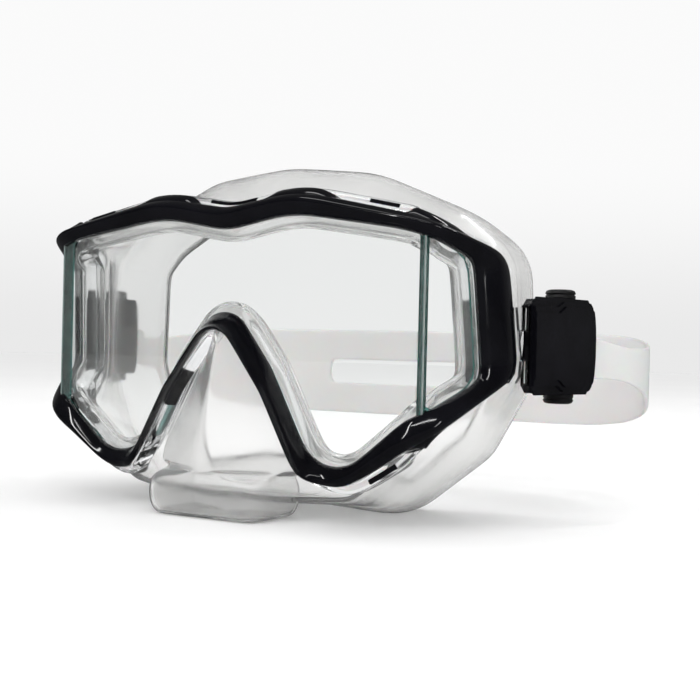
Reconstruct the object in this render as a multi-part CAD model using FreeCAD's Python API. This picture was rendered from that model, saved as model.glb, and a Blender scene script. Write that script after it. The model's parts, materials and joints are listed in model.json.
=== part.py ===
"""Three-window diving mask with swivelling push-button strap buckles.

Frame: millimetres, +X to the wearer's left, +Y towards the face, +Z up.
The origin is on the flat foot under the nose pocket, in the plane of the front lens.
"""
import FreeCAD, Part
import math
import os

os.makedirs("parts", exist_ok=True)

V = FreeCAD.Vector
UP = V(0, 0, 1)

# ---------------------------------------------------------------- driving dimensions
PANE_HALF = 71.0          # half width of the front pane, to its corner with a side pane
PANE_TURN = 62.0          # degrees that a side pane is turned back from the front pane
GLASS = 4.0               # pane thickness
BOND = 0.6                # thickness of the clear seam between two panes
SEAT = 2.0                # how far the glass runs under the bezel
STRAIGHT_PARTS = 5        # ruled strips along each straight of a ring
SEAT_PLAY = 0.1           # gap between the glass edge and the frame
GLASS_ROOM = 0.02         # gap between the bezel and the front of the glass

BEND_R = 12.5             # plan radius of the frame's corner, outside
BEZEL_FRONT = -4.2        # depths are measured back from the outside of the glass
ARCH_FRONT = -9.0         # front of the raised arch over the nose
ARCH_WIDTH = 3.0
FLANGE = 2.0              # thickness of the skirt lip clamped behind the glass
FRAME_BACK = 10.0
CLIP_SPANS = [(50.5, 60.5, 80, 120), (52, 61, 0, 30), (5, 28, 34.5, 45.5)]   # x and z of each side's clips
CLIP_CENTRE = 9.0         # half width of the top centre clip
CORNER_ROOM = 0.5         # the round corner of the frame stands this far behind its flat back
WALL = 2.0                # silicone wall
LIP = 9.0                 # width of the face seal, turned in at the back of the skirt

HINGE = V(88.8, 36.7, 56.6)   # left buckle hinge, at mid height
BUCKLE_TURN = 73.7            # degrees from +X to the buckle's long axis
PIN_R = 1.3
PIN_PLAY = 0.05
KNUCKLE_R = 3.4
KNUCKLE_HALF = 4.6            # half height of the buckle's knuckle
ARM_HALF = 11.6               # half height of the arm
BODY_START = 4.4              # buckle housing, along its long axis from the hinge
BODY_END = 26.8
COVER_START = -4.5            # the cover reaches forwards over the hinge
BODY_HALF = 15.0              # half height of the housing
BODY_IN = -6.2                # inner and outer faces of the housing
BODY_OUT = 4.4
COVER_OUT = 6.4
CAVITY_IN = -4.4
CAVITY_HALF = 11.0
BUTTON_X = 16.4
BUTTON_R = 4.8
BUTTON_TOP = 18.2
BUTTON_LOW = 14.8
BUTTON_TRAVEL = 2.0
BUTTON_PLAY = 0.3
STEM_R = 1.6
STEM_PLAY = 0.06
POCKET_FLOOR = 12.6           # floor of the recess that the button sinks into
SPRING_R = 2.9
SPRING_WIRE = 0.25
ROLLER_X = 22.4
ROLLER_R = 2.2
JOURNAL_R = 1.0
LOCK_START = 9.2              # lock bar, along the buckle; it slides towards the hinge
LOCK_TIP = 17.9
LOCK_TRAVEL = 1.2
LOCK_HALF = 8.0

STRAP = 1.5                   # strap thickness
STRAP_PLAY = 0.35
STRAP_HALF = 7.2              # half width at the buckle
STRAP_DROP = -3.4             # the strap hangs this much below the buckle's middle
STRAP_LEAVES = 51.0           # where the strap end meets the back strap, from the hinge
STRAP_BEND = 42.0             # radius of the strap's turn behind the head
BACK_UP = 9.0                 # the back panel reaches this far above and below the strap's middle
BACK_DOWN = 27.0
SPLIT_HALF = 5.0
STRAP_GAP = 0.5

# ---------------------------------------------------------------- outlines: (across, up, corner radius)
# half outlines from the top centre to the bottom centre; across is measured along the panes
WINDOW = [(0, 91.0, 24), (25, 95.8, 45), (66, 89.4, 60), (86.4, 81.6, 5), (90.2, 46.0, 5),
          (66.0, 34.0, 16), (38.1, 10.8, 12), (18.0, 48.6, 30), (0, 72.0, 9)]
RING = [(0, 98.6, 24), (27, 103.0, 45), (66, 94.6, 60), (99.5, 84.0, 9), (104.2, 47.5, 7),
        (72.0, 28.3, 30), (36.9, 6.3, 12), (19.1, 39.6, 30), (0, 64.6, 7)]
FRAME = [(0, 101.0, 24), (27, 105.4, 45), (66, 97.2, 60), (101.0, 86.6, 10), (107.4, 46.0, 8),
         (73.0, 25.4, 30), (37.6, 3.6, 12), (19.6, 38.0, 30), (0, 63.6, 7)]
SKIRT_FRONT = [(0, 99.5, 20), (30, 101.0, 40), (66, 93.0, 30), (80.5, 84.0, 10), (82, 47.0, 12),
               (66, 25.0, 14), (42, 4.0, 10)]
SKIRT_MIDDLE = [(0, 115.5, 20), (35, 112.6, 30), (66, 98.6, 30), (79.5, 87.0, 12), (81, 45.0, 16),
                (69, 20.0, 16), (45, 0.0, 12)]
SKIRT_BACK = [(0, 114.0, 20), (35, 111.0, 30), (66, 96.8, 30), (79, 85.5, 12), (80, 45.0, 16),
              (69, 20.0, 16), (45, 0.0, 12)]
SKIRT_DEPTHS = [5.0, 38.0, 72.0]
NOSE = [(0, 62.0, 5), (16.6, 30.0, 20), (18.4, 13.5, 4), (20.6, 8.0, 4), (18.6, 0.0, 4)]
NOSE_PROFILE = [(-11.5, 0.0, 2), (-13.0, 8.0, 4), (-9.0, 15.0, 5), (-5.5, 62.0, 3), (16.0, 62.0, 0),
                (16.0, 0.0, 0)]


# ---------------------------------------------------------------- helpers
def both_sides(half):
    """The closed outline made of a half outline and its mirror image."""
    mirrored = [(-x, z, r) for x, z, r in reversed(half) if x > 0]
    return half + mirrored


def offset(outline, distance):
    """The clockwise outline moved outwards by a distance, corner radii included."""
    moved = []
    count = len(outline)
    for i, (x, z, r) in enumerate(outline):
        before = outline[i - 1]
        after = outline[(i + 1) % count]
        a = V(x - before[0], z - before[1], 0).normalize()
        b = V(after[0] - x, after[1] - z, 0).normalize()
        turn = a.x * b.y - a.y * b.x
        normal = V(-a.y - b.y, a.x + b.x, 0)
        normal = normal.normalize()
        reach = distance / (normal.x * -a.y + normal.y * a.x)
        radius = r + distance if turn < 0 else r - distance
        moved.append((x + normal.x * reach, z + normal.y * reach, max(radius, 0.5)))
    return moved


def corner_arc(outline, i):
    """Start, middle and end of the arc at one corner of an outline."""
    x, z, r = outline[i]
    corner = V(x, z, 0)
    a = (V(outline[i - 1][0], outline[i - 1][1], 0) - corner).normalize()
    after = outline[(i + 1) % len(outline)]
    b = (V(after[0], after[1], 0) - corner).normalize()
    half = a.getAngle(b) / 2
    reach = r / math.tan(half)
    middle = corner + (a + b).normalize() * (r / math.sin(half) - r)
    return corner + a * reach, middle, corner + b * reach


def rounded_face(outline, place):
    """A face from an outline, with an arc at each corner; place turns (a, b) into a point."""
    edges = []
    first = last = None
    for i, (x, z, r) in enumerate(outline):
        start, middle, end = corner_arc(outline, i)
        if last is not None:
            edges.append(Part.makeLine(place(last), place(start)))
        if r > 0:
            edges.append(Part.Arc(place(start), place(middle), place(end)).toShape())
        first = first or start
        last = end
    edges.append(Part.makeLine(place(last), place(first)))
    return Part.Face(Part.Wire(edges))


def front_face(outline, y):
    return rounded_face(outline, lambda p: V(p.x, y, p.y))


def flat_prism(outline, y0, y1):
    return front_face(outline, y0).extrude(V(0, y1 - y0, 0))


def plan_prism(points, z0, z1):
    corners = [V(x, y, z0) for x, y in points]
    return Part.Face(Part.makePolygon(corners + corners[:1])).extrude(V(0, 0, z1 - z0))


def largest(shape):
    """The biggest solid, without the crumbs that a cut leaves at the corners."""
    return max(shape.Solids, key=lambda solid: solid.Volume)


def mirror(shape):
    return shape.mirror(V(0, 0, 0), V(1, 0, 0))


def pane_regions(gap):
    """Plan regions of the front pane and the left pane, split on the mitre with a gap."""
    half_turn = math.radians(PANE_TURN / 2)
    away = V(math.cos(half_turn), math.sin(half_turn), 0)
    along = V(-away.y, away.x, 0)
    corner = V(PANE_HALF, 0, 0)
    front_a = corner - along * 30 - away * gap / 2
    front_b = corner + along * 80 - away * gap / 2
    side_a = corner - along * 30 + away * gap / 2
    side_b = corner + along * 80 + away * gap / 2
    front = [(front_a.x, front_a.y), (front_b.x, front_b.y), (-front_b.x, front_b.y), (-front_a.x, front_a.y)]
    side = [(side_a.x, side_a.y), (160, side_a.y), (160, side_b.y), (side_b.x, side_b.y)]
    return plan_prism(front, -50, 200), plan_prism(side, -50, 200)


def pane_pieces(outline, d0, d1, gap=0.0):
    """Front, left and right parts of an outline laid on the three panes, between two depths."""
    front_region, side_region = pane_regions(gap)
    flat = flat_prism(outline, d0, d1)
    front = flat.common(front_region)
    left = flat.copy()
    left.rotate(V(PANE_HALF, 0, 0), UP, PANE_TURN)
    left = left.common(side_region)
    return front, left, mirror(left)


def wrapped(outline, d0, d1):
    """One solid of an outline laid on the three panes."""
    front, left, right = pane_pieces(outline, d0, d1)
    return front.fuse([left, right]).removeSplitter()


def bent(across, up, depth):
    """A point of the frame: laid on the panes, with a round corner in plan."""
    turn = math.radians(PANE_TURN)
    flat_half = PANE_HALF - BEND_R * math.tan(turn / 2)
    past = abs(across) - flat_half
    angle = min(max(past / BEND_R, 0.0), turn)
    beyond = max(past - BEND_R * turn, 0.0)
    x = flat_half + (BEND_R - depth) * math.sin(angle) + beyond * math.cos(turn)
    y = BEND_R - (BEND_R - depth) * math.cos(angle) + beyond * math.sin(turn)
    if past < 0:
        return V(across, depth, up)
    return V(math.copysign(x, across), y, up)


def stations(outline):
    """Points along an outline: three on each corner's arc and a few on each straight."""
    arcs = [corner_arc(outline, i) for i in range(len(outline))]
    route = []
    for i, (start, middle, end) in enumerate(arcs):
        next_start = arcs[(i + 1) % len(arcs)][0]
        step = (next_start - end) / STRAIGHT_PARTS
        route.extend([start, middle, end])
        route.extend(end + step * j for j in range(1, STRAIGHT_PARTS))
    return route


def ring_solid(profile):
    """Closed ring on the bent front: profile is a list of (outline, depth) corners."""
    routes = [(stations(outline), depth) for outline, depth in profile]
    wires = []
    for k in range(len(routes[0][0])):
        corners = [bent(route[k].x, route[k].y, depth) for route, depth in routes]
        wires.append(Part.makePolygon(corners + corners[:1]))
    return Part.makeLoft(wires, True, True, True)


def cylinder(radius, x, y, z0, z1):
    return Part.makeCylinder(radius, z1 - z0, V(x, y, z0), UP)


def box(x0, x1, y0, y1, z0, z1):
    return Part.makeBox(x1 - x0, y1 - y0, z1 - z0, V(x0, y0, z0))


def on_buckle(shape):
    """Carries a shape from the buckle's own frame (x along it, y outwards) to the left side."""
    placed = mirror_depth(shape)
    placed.rotate(V(0, 0, 0), UP, BUCKLE_TURN)
    placed.translate(HINGE)
    return placed


def mirror_depth(shape):
    """Turns the buckle frame's outward y into the side that faces away from the head."""
    return shape.mirror(V(0, 0, 0), V(0, 1, 0))


def save(name, shape):
    shape = shape.removeSplitter()
    solids = shape.Solids
    result = solids[0] if len(solids) == 1 else Part.makeCompound(solids)
    result.exportStep("parts/" + name + ".step")
    print(name, len(solids), result.isValid(), round(result.Volume, 1))
    return result


def save_pair(name, left):
    save(name + "_left", left)
    save(name + "_right", mirror(left))


def save_twins(name, left):
    """Like save_pair, for a piece with the same hand on both sides, such as a spring."""
    right = left.copy()
    right.translate(V(-2 * left.BoundBox.Center.x, 0, 0))
    save(name + "_left", left)
    save(name + "_right", right)


# ---------------------------------------------------------------- lenses and frame
window = both_sides(WINDOW)
ring = both_sides(RING)
frame_edge = both_sides(FRAME)
seat = offset(window, SEAT)
neck = offset(window, 0.6)


def make_lenses():
    glass_edge = offset(window, SEAT - SEAT_PLAY)
    front, left, right = pane_pieces(glass_edge, 0, GLASS, BOND)
    save("front_lens", front)
    save_pair("side_lens", left)
    whole = wrapped(glass_edge, 0, GLASS)
    front_region, side_region = pane_regions(BOND)
    seams = whole.cut([front_region, side_region, mirror(side_region)])
    left_seam = [s for s in seams.Solids if s.CenterOfMass.x > 0]
    save_pair("lens_bond", left_seam[0])


def make_bezel():
    band = ring_solid([(window, BEZEL_FRONT), (ring, BEZEL_FRONT), (ring, 0), (window, 0)])
    arch = flat_prism(offset(ring, -ARCH_WIDTH), ARCH_FRONT - 1, BEZEL_FRONT)
    arch_band = flat_prism(ring, ARCH_FRONT, BEZEL_FRONT).cut(arch)
    slope = [(-30, ARCH_FRONT - 2), (30, ARCH_FRONT - 2), (30, BEZEL_FRONT), (-30, BEZEL_FRONT)]
    keep = plan_prism(slope, 30, 75)
    arch_band = arch_band.common(keep)
    bezel = band.fuse(arch_band).cut(wrapped(window, ARCH_FRONT - 2, 1))
    return largest(bezel.cut(wrapped(seat, -GLASS_ROOM, GLASS)))


def make_main_frame():
    rim = ring_solid([(window, 0), (frame_edge, 0), (frame_edge, FRAME_BACK), (window, FRAME_BACK)])
    rim = rim.cut(wrapped(seat, -1, GLASS + FLANGE))
    return largest(rim.cut(wrapped(offset(neck, 0.2), -1, FRAME_BACK + 1)))


def make_clips(main_frame):
    """Black inlays let into the clear flank, where the bezel's hooks come through."""
    depth = 1.4
    inside = offset(frame_edge, -depth)
    low = 1.5
    high = FRAME_BACK - 1.5
    skin = ring_solid([(inside, low), (frame_edge, low), (frame_edge, high), (inside, high)])
    windows = [box(x0, x1, -5, 30, z0, z1) for x0, x1, z0, z1 in CLIP_SPANS]
    windows = windows + [mirror(w) for w in windows] + [box(-CLIP_CENTRE, CLIP_CENTRE, -5, 30, 90, 120)]
    return skin.common(Part.makeCompound(windows)).common(main_frame)


# ---------------------------------------------------------------- skirt
def skirt_loft(grow):
    sections = []
    for half, depth in zip((SKIRT_FRONT, SKIRT_MIDDLE, SKIRT_BACK), SKIRT_DEPTHS):
        sections.append(front_face(offset(both_sides(half), grow), depth).OuterWire)
    return Part.makeLoft(sections, True, True)


def face_curve(back, side):
    """Plan prism of everything behind a curve shaped like a forehead."""
    arc = Part.Arc(V(-110, back + side, -50), V(0, back, -50), V(110, back + side, -50)).toShape()
    lines = [V(110, back + side, -50), V(110, 200, -50), V(-110, 200, -50), V(-110, back + side, -50)]
    return Part.Face(Part.Wire([arc, Part.makePolygon(lines)])).extrude(V(0, 0, 250))


def nose_solid(grow):
    front = flat_prism(offset(both_sides(NOSE), grow), -20, 20)
    profile = offset(NOSE_PROFILE, grow)
    side = rounded_face(profile, lambda p: V(-40, p.x, p.y)).extrude(V(80, 0, 0))
    return front.common(side)


def make_skirt():
    everything = [(-130, -60, 1), (-130, 160, 1), (130, 160, 1), (130, -60, 1)]
    behind_frame = wrapped(everything, -40, FRAME_BACK + CORNER_ROOM)
    behind_wall = wrapped(everything, -40, FRAME_BACK + WALL)
    body = skirt_loft(0).cut([behind_frame, face_curve(48, 26)])
    hollow = skirt_loft(-WALL).cut([behind_wall, face_curve(48 - WALL, 26)])
    opening = skirt_loft(-LIP)
    opening = opening.common(face_curve(40, 26))
    through = wrapped(offset(neck, -WALL), 0, FRAME_BACK + WALL + 1)
    collar = wrapped(neck, GLASS, FRAME_BACK + 1)
    flange = wrapped(offset(seat, -SEAT_PLAY), GLASS, GLASS + FLANGE)
    nose = nose_solid(0)
    nose_hollow = nose_solid(-WALL)
    skirt = body.fuse([collar, flange, nose])
    return skirt.cut([hollow, opening, through, nose_hollow])


# ---------------------------------------------------------------- arms, buckles and strap
def make_arm(main_frame, bezel):
    plate = box(-14, 0, -1.6, 1.6, -ARM_HALF, ARM_HALF)
    knuckle = cylinder(KNUCKLE_R, 0, 0, -ARM_HALF, ARM_HALF)
    arm = plate.fuse(knuckle)
    half = KNUCKLE_HALF + 0.2
    arm = arm.cut(box(-4.2, 6, -6, 6, -half, half))
    arm = arm.cut(cylinder(PIN_R, 0, 0, -20, 20))
    return on_buckle(arm).cut([main_frame, bezel])


def make_hinge_pin():
    shank = cylinder(PIN_R, 0, 0, -ARM_HALF - 0.2, ARM_HALF)
    head = cylinder(PIN_R + 0.9, 0, 0, ARM_HALF, ARM_HALF + 0.9)
    return on_buckle(shank.fuse(head))


def make_buckle_body():
    body = box(BODY_START, BODY_END, BODY_IN, BODY_OUT, -BODY_HALF, BODY_HALF)
    body = body.makeFillet(1.8, [e for e in body.Edges if abs(e.tangentAt(e.FirstParameter).y) > 0.9])
    knuckle = cylinder(KNUCKLE_R, 0, 0, -KNUCKLE_HALF, KNUCKLE_HALF)
    web = box(0, BODY_START, -2.2, 2.2, -KNUCKLE_HALF, KNUCKLE_HALF)
    body = body.fuse([knuckle, web])
    cavity = box(BODY_START + 2.4, BODY_END + 1, CAVITY_IN, BODY_OUT + 1, -CAVITY_HALF, CAVITY_HALF)
    bores = [cylinder(PIN_R + PIN_PLAY, 0, 0, -20, 20)]
    bores.append(cylinder(JOURNAL_R + PIN_PLAY, ROLLER_X, 0, -13.5, 13.5))
    bores.append(cylinder(STEM_R + STEM_PLAY, BUTTON_X, 0, -20, 20))
    for low, high in ((POCKET_FLOOR, 20), (-20, -POCKET_FLOOR)):
        bores.append(cylinder(BUTTON_R + BUTTON_PLAY, BUTTON_X, 0, low, high))
    return body.cut([cavity] + bores).fuse(make_lock_rail())


def make_cover():
    """Outer panel, raised in the middle, with a bulged rear edge."""
    plate = box(COVER_START, BODY_END + 0.6, BODY_OUT, COVER_OUT - 0.8, -BODY_HALF, BODY_HALF)
    panel = box(COVER_START + 1, BODY_END + 0.6, COVER_OUT - 0.8, COVER_OUT, -BODY_HALF + 4, BODY_HALF - 4)
    chamfered = [e for e in panel.Edges if abs(e.CenterOfMass.y - COVER_OUT) < 0.01]
    panel = panel.makeChamfer(0.7, chamfered)
    lug = box(BODY_START + 2.8, BODY_START + 4.4, BODY_OUT - 1.2, BODY_OUT, -9, 9)
    recess = cylinder(BUTTON_R + BUTTON_PLAY, BUTTON_X, 0, -20, 20)
    return plate.fuse([panel, lug]).cut(recess)


def make_roller():
    drum = cylinder(ROLLER_R, ROLLER_X, 0, -CAVITY_HALF + 0.2, CAVITY_HALF - 0.2)
    return on_buckle(drum.fuse(cylinder(JOURNAL_R, ROLLER_X, 0, -13.3, 13.3)))


def make_lock_bar():
    """Toothed bar that presses the strap on the roller; the button stems wedge it forwards."""
    outline = [(LOCK_START, -1.8), (LOCK_TIP - 2.4, -1.8), (LOCK_TIP - 1.2, -1.1), (LOCK_TIP - 1.6, -0.6),
               (LOCK_TIP, 0.0), (LOCK_TIP - 1.6, 0.6), (LOCK_TIP - 1.2, 1.1), (LOCK_TIP - 2.4, 1.8),
               (LOCK_START, 1.8)]
    return on_buckle(plan_prism(outline, -LOCK_HALF, LOCK_HALF))


def make_lock_rail():
    """The ledge in the housing that the lock bar slides on."""
    return box(LOCK_START - LOCK_TRAVEL, LOCK_TIP - 5.5, CAVITY_IN, -1.85, -LOCK_HALF, LOCK_HALF)


def make_button():
    cap = cylinder(BUTTON_R, BUTTON_X, 0, BUTTON_LOW, BUTTON_TOP)
    cap = cap.makeFillet(1.1, [e for e in cap.Edges if abs(e.CenterOfMass.z - BUTTON_TOP) < 0.01])
    groove = cylinder(SPRING_R + 0.7, BUTTON_X, 0, BUTTON_LOW - 1, BUTTON_TOP - 1.2)
    stem = cylinder(STEM_R, BUTTON_X, 0, 10.6, BUTTON_TOP - 1.0)
    return cap.cut(groove).fuse(stem)


def make_spring():
    height = BUTTON_TOP - 1.2 - POCKET_FLOOR - 2 * SPRING_WIRE - 0.1
    coil = Part.makeHelix(height / 5, height, SPRING_R)
    corners = [math.radians(22.5 + 45 * k) for k in range(9)]
    section = [V(SPRING_R + SPRING_WIRE * math.cos(a), 0, SPRING_WIRE * math.sin(a)) for a in corners]
    sweep = Part.Wire(coil.Edges).makePipeShell([Part.makePolygon(section)], True, True)
    sweep.translate(V(BUTTON_X, 0, POCKET_FLOOR + SPRING_WIRE + 0.05))
    return sweep


def upside_down(shape):
    return shape.mirror(V(0, 0, 0), V(0, 0, 1))


def make_strap_end():
    outer = ROLLER_R + STRAP_PLAY + STRAP
    inner = ROLLER_R + STRAP_PLAY
    tail_end = STRAP_LEAVES - 6
    z0 = STRAP_DROP - STRAP_HALF
    z1 = STRAP_DROP + STRAP_HALF
    solid = cylinder(outer, ROLLER_X, 0, z0, z1)
    solid = solid.fuse(box(ROLLER_X, STRAP_LEAVES, -outer, outer, z0, z1))
    hollow = cylinder(inner, ROLLER_X, 0, z0 - 1, z1 + 1)
    hollow = hollow.fuse(box(ROLLER_X, STRAP_LEAVES + 1, -inner, inner, z0 - 1, z1 + 1))
    solid = solid.cut(hollow)
    solid = solid.cut(box(tail_end, STRAP_LEAVES + 1, -outer - 1, 0, z0 - 1, z1 + 1))
    return on_buckle(solid)


def make_strap_back():
    """Band behind the head: rounded corners, widening to a split back."""
    along = V(math.cos(math.radians(BUCKLE_TURN)), math.sin(math.radians(BUCKLE_TURN)), 0)
    outwards = V(along.y, -along.x, 0)
    middle = ROLLER_R + STRAP_PLAY + STRAP / 2
    start = V(HINGE.x, HINGE.y, 0) + along * (STRAP_LEAVES + STRAP_GAP) + outwards * middle
    centre = start - outwards * STRAP_BEND
    turn = math.radians(180 - BUCKLE_TURN)
    half = V(math.cos(math.radians(BUCKLE_TURN - 90) + turn / 2),
             math.sin(math.radians(BUCKLE_TURN - 90) + turn / 2), 0)

    def line(radius):
        a = centre + outwards * radius
        b = centre + half * radius
        c = centre + V(0, 1, 0) * radius
        corner = Part.Arc(a, b, c).toShape()
        back = Part.makeLine(c, V(-c.x, c.y, 0))
        other = Part.Arc(V(-c.x, c.y, 0), V(-b.x, b.y, 0), V(-a.x, a.y, 0)).toShape()
        return [corner, back, other], a

    outside, outer_start = line(STRAP_BEND + STRAP / 2)
    inside, inner_start = line(STRAP_BEND - STRAP / 2)
    ends = [Part.makeLine(outer_start, inner_start)]
    ends.append(Part.makeLine(V(-outer_start.x, outer_start.y, 0), V(-inner_start.x, inner_start.y, 0)))
    plan = Part.Face(Part.Wire(Part.__sortEdges__(outside + inside + ends)))
    band = plan.extrude(V(0, 0, 120))
    mid_z = HINGE.z + STRAP_DROP
    back_y = centre.y + STRAP_BEND
    top = [(start.y - 5, mid_z + STRAP_HALF, 0), (start.y + 8, mid_z + STRAP_HALF, 20),
           (back_y - 8, mid_z + BACK_UP, 20), (back_y + 5, mid_z + BACK_UP, 0)]
    low = [(back_y + 5, mid_z - BACK_DOWN, 0), (back_y - 8, mid_z - BACK_DOWN, 20),
           (start.y + 2, mid_z - STRAP_HALF, 20), (start.y - 5, mid_z - STRAP_HALF, 0)]
    side = rounded_face(top + low, lambda p: V(-150, p.x, p.y)).extrude(V(300, 0, 0))
    split_low = mid_z + (BACK_UP - BACK_DOWN) / 2 - SPLIT_HALF
    split_high = split_low + 2 * SPLIT_HALF
    split = [(-46, split_low, 4), (-46, split_high, 4), (46, split_high, 4), (46, split_low, 4)]
    return band.common(side).cut(flat_prism(split, back_y - 20, back_y + 20))


# ---------------------------------------------------------------- write the parts
main_frame = make_main_frame()
bezel = make_bezel()
clips = make_clips(main_frame)
make_lenses()
save("bezel", bezel)
save("main_frame", main_frame.cut(clips))
save("frame_clips", clips)
save("skirt", make_skirt())
save_pair("strap_arm", make_arm(main_frame, bezel))
save_pair("hinge_pin", make_hinge_pin())
save_pair("buckle_body", on_buckle(make_buckle_body()))
save_pair("buckle_cover", on_buckle(make_cover()))
save_pair("strap_roller", make_roller())
save_pair("lock_bar", make_lock_bar())
save_pair("upper_button", on_buckle(make_button()))
save_pair("lower_button", on_buckle(upside_down(make_button())))
save_twins("upper_spring", on_buckle(make_spring()))
save_twins("lower_spring", on_buckle(upside_down(make_spring())))
save_pair("strap_end", make_strap_end())
save("strap_back", make_strap_back())
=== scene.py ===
import json
import math

import bpy
import bmesh
import numpy as np
from mathutils import Matrix, Vector


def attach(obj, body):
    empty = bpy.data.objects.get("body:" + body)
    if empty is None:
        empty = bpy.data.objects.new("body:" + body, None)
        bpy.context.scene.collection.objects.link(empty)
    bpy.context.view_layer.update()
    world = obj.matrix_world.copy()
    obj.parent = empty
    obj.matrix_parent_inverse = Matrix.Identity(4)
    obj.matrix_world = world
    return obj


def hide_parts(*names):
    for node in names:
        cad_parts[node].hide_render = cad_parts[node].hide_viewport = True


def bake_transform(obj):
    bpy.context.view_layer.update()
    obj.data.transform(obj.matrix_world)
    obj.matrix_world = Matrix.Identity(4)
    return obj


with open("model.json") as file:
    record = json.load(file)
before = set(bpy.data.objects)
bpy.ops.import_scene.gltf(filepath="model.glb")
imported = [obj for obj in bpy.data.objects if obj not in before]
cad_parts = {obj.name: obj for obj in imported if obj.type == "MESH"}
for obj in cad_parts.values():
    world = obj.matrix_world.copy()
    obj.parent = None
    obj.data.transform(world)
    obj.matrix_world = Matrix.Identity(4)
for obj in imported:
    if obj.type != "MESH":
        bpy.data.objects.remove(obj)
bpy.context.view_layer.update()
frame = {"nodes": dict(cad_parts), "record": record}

MM = 0.001

# ---------------------------------------------------------------- sizes, in millimetres as in the design
PANE_HALF = 71.0
PANE_TURN = math.radians(62.0)
BEND_R = 12.5
GLASS = 4.0
BOND = 0.6
SEAT = 2.0
SEAT_PLAY = 0.15         # gap between the glass edge and the frame
ARRIS = 0.35             # ground edge of the glass
FRAME_BACK = 10.0
NOSE_SHIFT = 6.2         # the clear frame stands this much further forward round the nose
STRAIGHT_PARTS = 8
ARC_PARTS = 6

HINGE = np.array([88.8, 36.7, 56.6])
BUCKLE_TURN = math.radians(73.7)
BUTTON_X = 16.4
ROLLER_X = 22.4
COVER_FRONT = -4.3       # the buckle's cover reaches forwards over the hinge
HOUSING_FRONT = 4.6
HOUSING_REAR = 25.8
HOUSING_HALF = 15.0      # half height of the buckle
HOUSING_IN = -6.1
HOUSING_OUT = 4.3
KNUCKLE_R = 3.4
KNUCKLE_HALF = 4.6
BUTTON_R = 4.8
POCKET_R = 5.05          # room for the button in the housing and the cover
POCKET_FLOOR = 12.6
STEM_R = 1.6
BORE_R = 1.8
BORE_END = 8.4
STRAP = 1.5
STRAP_LEG = 3.3          # middle of the strap's outer leg, from the roller's axis
STRAP_DROP = -3.4
STRAP_BEND = 42.0
STRAP_LEAVES = 51.0
STRAP_TAIL = 38.0        # where the loose end stops, from the hinge
STRAP_RISE = [(0, 6.8), (6, 6.7), (15, 5.2), (26, 3.6), (42, 3.7), (52, 4.8), (63, 6.6), (77, 8.2),
              (92, 8.9), (107, 9.0), (170, 9.0)]      # top edge above the strap's middle, by length
STRAP_FALL = [(0, 6.8), (6, 6.7), (15, 6.9), (24, 7.6), (36, 10.6), (48, 15.6), (60, 20.4), (76, 24.5),
              (92, 26.5), (107, 27.0), (170, 27.0)]   # bottom edge below it
SLOT_HALF = 42.0
STRAP_BACK = 100.0       # behind this depth the strap may be slotted
STRAP_LENGTH = 171       # whole millimetres along half the strap, from the roller

# half outlines from the top centre to the bottom centre: across the panes, up, corner radius
WINDOW = [(0, 91.0, 24), (25, 95.8, 45), (66, 89.4, 60), (86.4, 81.6, 5), (90.2, 46.0, 5),
          (66.0, 34.0, 16), (38.1, 10.8, 12), (18.0, 48.6, 30), (0, 72.0, 9)]
RING = [(0, 98.6, 24), (27, 103.0, 45), (66, 94.6, 60), (99.5, 84.0, 9), (104.2, 47.5, 7),
        (72.0, 28.3, 30), (36.9, 6.3, 12), (19.1, 39.6, 30), (0, 64.6, 7)]
FRAME = [(0, 101.0, 24), (27, 105.4, 45), (66, 97.2, 60), (101.0, 86.6, 10), (107.4, 46.0, 8),
         (73.0, 25.4, 30), (37.6, 3.6, 12), (19.6, 38.0, 30), (0, 63.6, 7)]
SKIRT_NECK = [(0, 93.0, 24), (25, 97.0, 45), (66, 90.0, 60), (87.0, 82.6, 6), (91.0, 45.6, 6),
              (68.0, 31.0, 16), (43.0, 8.0, 12), (14.0, 6.0, 10)]
SKIRT_FRONT = [(0, 108.0, 60), (30, 107.5, 44), (63, 98.0, 36), (80.5, 86.0, 14), (82.5, 46.0, 14),
               (68, 22.0, 16), (46, 1.5, 12), (14, 3.5, 10)]
SKIRT_MIDDLE = [(0, 116.0, 60), (33, 113.0, 40), (65, 99.0, 40), (79.5, 87.0, 14), (81, 45.0, 16),
                (69, 20.0, 16), (46, 0.0, 12), (13, 3.5, 10)]
SKIRT_BACK = [(0, 113.0, 60), (33, 110.0, 40), (65, 96.4, 40), (78.5, 85.5, 14), (80, 45.0, 16),
              (68, 20.0, 16), (45, 0.5, 12), (12, 6.0, 10)]
EYE_BACK = 46.0
EYE_CURVE = 20.0         # the skirt's edge runs this far back where the face is widest
FACE_HALF = 84.0
SKIRT_WALL = 1.7
COLLAR_WALL = 1.4
NOSE_WALL = 1.5

# nose pocket: a prow between the nose legs over a broad foot, each by height
NOSE_LEVELS = [0.8, 1.0, 1.7, 3.5, 7.0, 10.0, 12.4, 13.8, 14.6, 15.4, 17.5,
               22, 28, 34, 40, 46, 52, 56, 59, 60.5]
LEG_LEVELS = [0, 14, 20, 28, 39, 51, 57, 60.5]
LEG_WIDTHS = [27.5, 27.5, 27.0, 23.0, 16.8, 9.6, 5.0, 2.4]
PROW_LEVELS = [14, 50, 60.5]
PROW_DEPTHS = [-10.5, -7.5, -4.0]
FOOT_LEVELS = [0, 0.3, 1.2, 3.5, 7, 10, 12.4, 14]
FOOT_WIDTHS = [15.0, 18.2, 20.0, 21.2, 21.6, 21.4, 20.6, 18.8]
FOOT_DEPTHS = [-7.5, -10, -11.6, -12.8, -13.2, -13, -12.4, -11]
FOOT_TOP = 12.8          # from here up the foot turns into the side walls
FOOT_MIDDLE = 2.0
FOOT_TURN = math.pi * 0.5 + 0.35     # the foot's plan curve runs this far round to each side
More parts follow.
